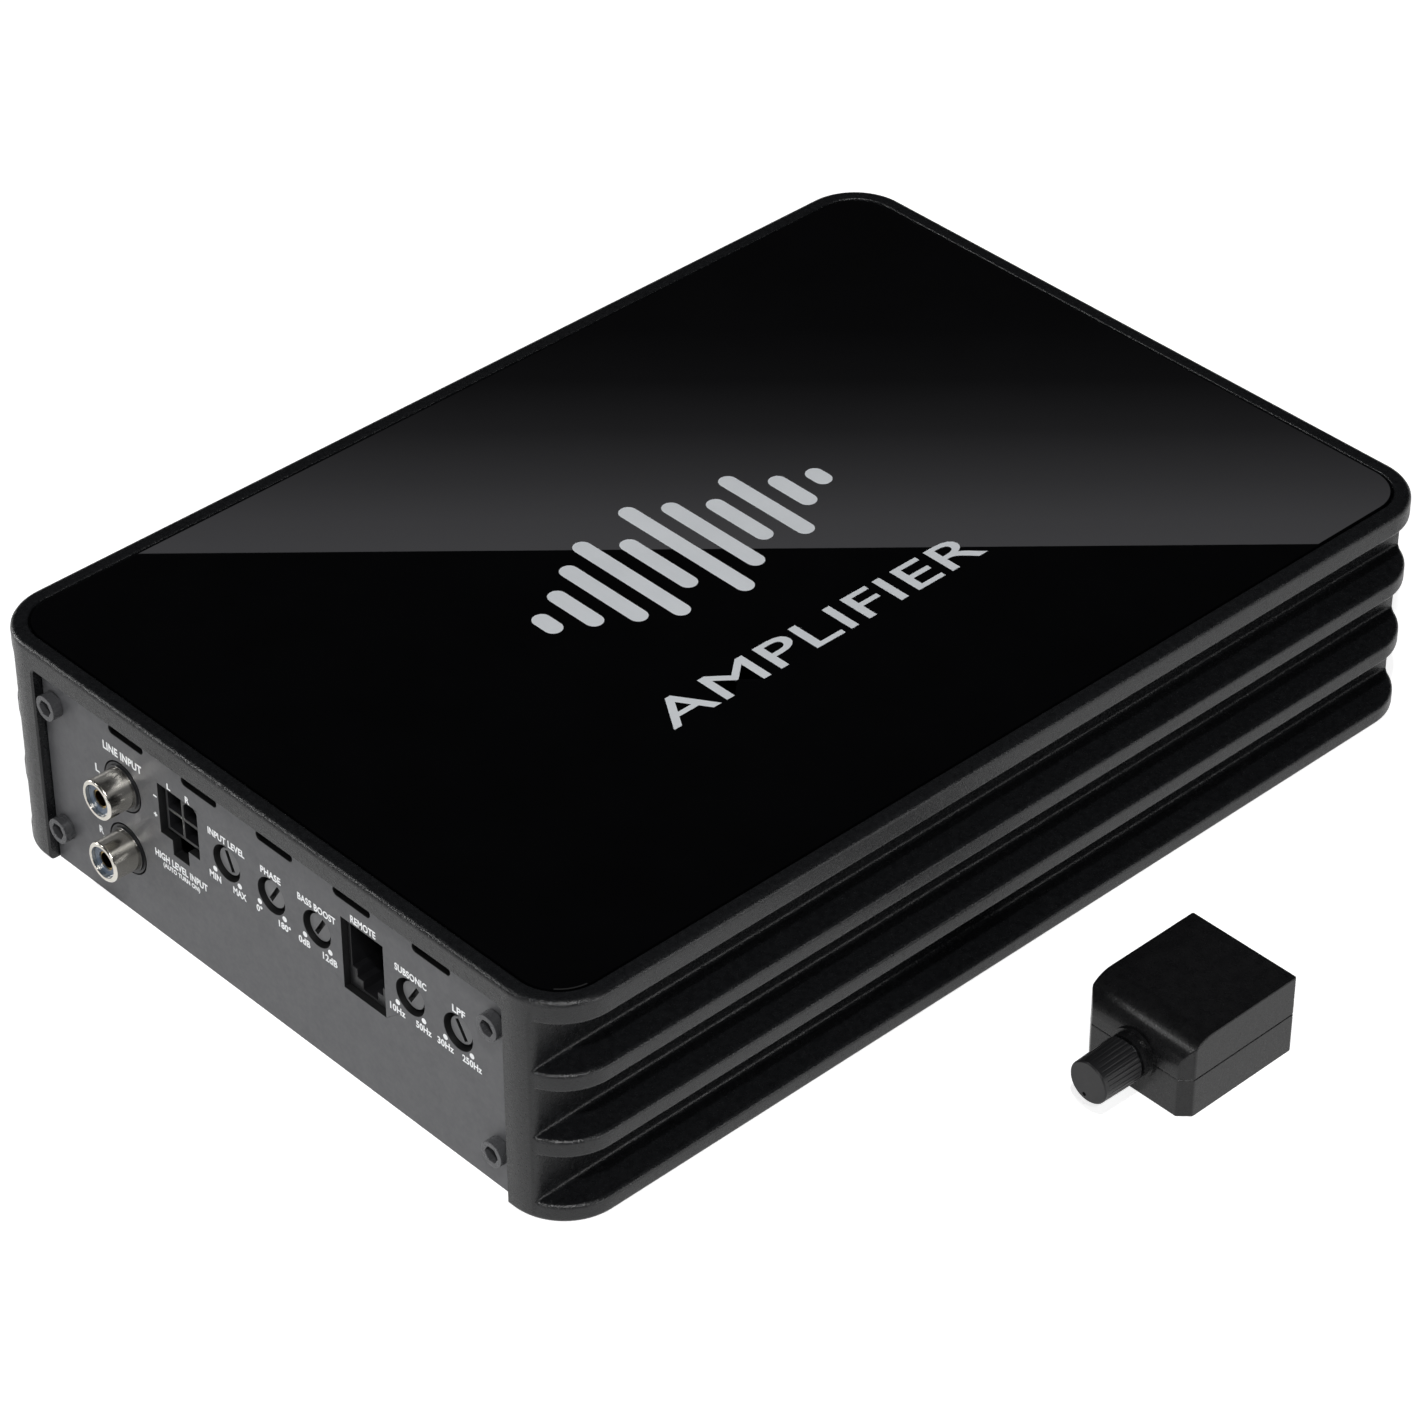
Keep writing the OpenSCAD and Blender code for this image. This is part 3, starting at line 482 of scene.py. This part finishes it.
# A card behind the far side, seen only in the glass: bright along its top edge, fading downwards
m, nodes, links, p = new_material("card_glow")
tc = nodes.new("ShaderNodeTexCoord")
sep = nodes.new("ShaderNodeSeparateXYZ")
mr = nodes.new("ShaderNodeMapRange")
fall = nodes.new("ShaderNodeValToRGB")
gain = nodes.new("ShaderNodeMath")
gain.operation = "MULTIPLY"
gain.inputs[1].default_value = 0.66
links.new(tc.outputs["Object"], sep.inputs["Vector"])
links.new(sep.outputs["Z"], mr.inputs["Value"])
mr.inputs["From Min"].default_value = 1.25
mr.inputs["From Max"].default_value = 1.65
links.new(mr.outputs["Result"], fall.inputs["Fac"])
links.new(fall.outputs["Color"], gain.inputs[0])
for k, (z, level) in enumerate([(1.25, 0.012), (1.4062, 0.03), (1.448, 0.04), (1.4917, 0.084), (1.5349, 0.24),
                                (1.5792, 0.56), (1.6148, 0.874), (1.6384, 1.0)]):
    e = fall.color_ramp.elements[k] if k < 2 else fall.color_ramp.elements.new(1.0)
    e.position = (z - 1.25) / 0.4
    e.color = (level, level, level, 1)
p.inputs["Base Color"].default_value = (0, 0, 0, 1)
p.inputs["Roughness"].default_value = 1.0
p.inputs["Specular IOR Level"].default_value = 0.0
p.inputs["Emission Color"].default_value = (0.95, 0.945, 1, 1)
links.new(gain.outputs["Value"], p.inputs["Emission Strength"])
eye = Vector((0.5525, -0.5200, 0.0))
ahead = Vector((-0.7305, 0.6829, 0.0)).normalized()
along = Vector((0.68457, 0.72894, 0.0)).normalized()
mid = eye + ahead * 3.0
lowz, topz = 1.25, -0.4897 + 3.0 * math.tan(math.radians(35.385))
card = quad("reflection_card", [mid - along * 1.1 + Vector((0, 0, lowz)), mid + along * 1.1 + Vector((0, 0, lowz)),
                                mid + along * 1.1 + Vector((0, 0, topz - 0.0078)),
                                mid - along * 1.1 + Vector((0, 0, topz + 0.0078))], m)
card.visible_camera = False
card.visible_shadow = False


def area(name, at, target, size, watts, tint=(1, 1, 1)):
    d = bpy.data.lights.new(name, "AREA")
    d.shape = "RECTANGLE"
    d.size, d.size_y = size
    d.energy = watts
    d.color = tint
    o = bpy.data.objects.new(name, d)
    o.location = at
    o.rotation_mode = "QUATERNION"
    o.rotation_quaternion = (Vector(target) - Vector(at)).to_track_quat("-Z", "Y")
    bpy.context.scene.collection.objects.link(o)
    return o


area("overhead", (0.25, 0.1, 1.7), (0, 0, 0), (0.9, 0.9), 1)
area("front_left", (-1.25, -0.66, 0.22), (0, -0.11, 0.03), (0.22, 0.3), 4.5)
area("front_high", (-0.98, -1.15, 0.98), (0.06, -0.08, 0.03), (0.26, 0.26), 3.6)
area("front_soft", (0.35, -1.35, 0.40), (0, -0.11, 0.03), (0.6, 0.4), 2.3)
area("right_low", (1.35, 0.25, 0.30), (0.08, 0, 0.02), (0.7, 0.3), 3.9)
area("sparkle", (0.95, -0.75, 1.15), (0.05, -0.05, 0.04), (0.05, 0.05), 4)
area("crown", (0.62, -0.60, 1.25), (0.06, -0.08, 0.04), (0.05, 0.05), 8)

w = bpy.data.worlds.new("studio")
bpy.context.scene.world = w
w.use_nodes = True
wn, wl = w.node_tree.nodes, w.node_tree.links
bg = wn["Background"]
seen = wn.new("ShaderNodeBackground")
mix = wn.new("ShaderNodeMixShader")
lp = wn.new("ShaderNodeLightPath")
bg.inputs["Color"].default_value = (0.9, 0.95, 1, 1)
bg.inputs["Strength"].default_value = 0.012
seen.inputs["Color"].default_value = (1, 1, 1, 1)
seen.inputs["Strength"].default_value = 0.95
wl.new(lp.outputs["Is Camera Ray"], mix.inputs["Fac"])
wl.new(bg.outputs["Background"], mix.inputs[1])
wl.new(seen.outputs["Background"], mix.inputs[2])
wl.new(mix.outputs["Shader"], wn["World Output"].inputs["Surface"])

cam_data = bpy.data.cameras.new("camera")
cam_data.lens = 125.585
cam_data.sensor_width = 36.0
cam_data.clip_start, cam_data.clip_end = 0.05, 30
cam = bpy.data.objects.new("camera", cam_data)
bpy.context.scene.collection.objects.link(cam)
right = Vector((0.68456693, 0.72894404, -0.00295145))
up = Vector((-0.43960058, 0.41606133, 0.79601778))
back = Vector((0.5814804, -0.54362998, 0.60526605))
cam.matrix_world = Matrix(((right.x, up.x, back.x, 0.55250805), (right.y, up.y, back.y, -0.51995734),
                           (right.z, up.z, back.z, 0.58952822), (0, 0, 0, 1)))
bpy.context.scene.camera = cam
bpy.context.scene.view_settings.view_transform = "Standard"
bpy.context.scene.view_settings.look = "None"
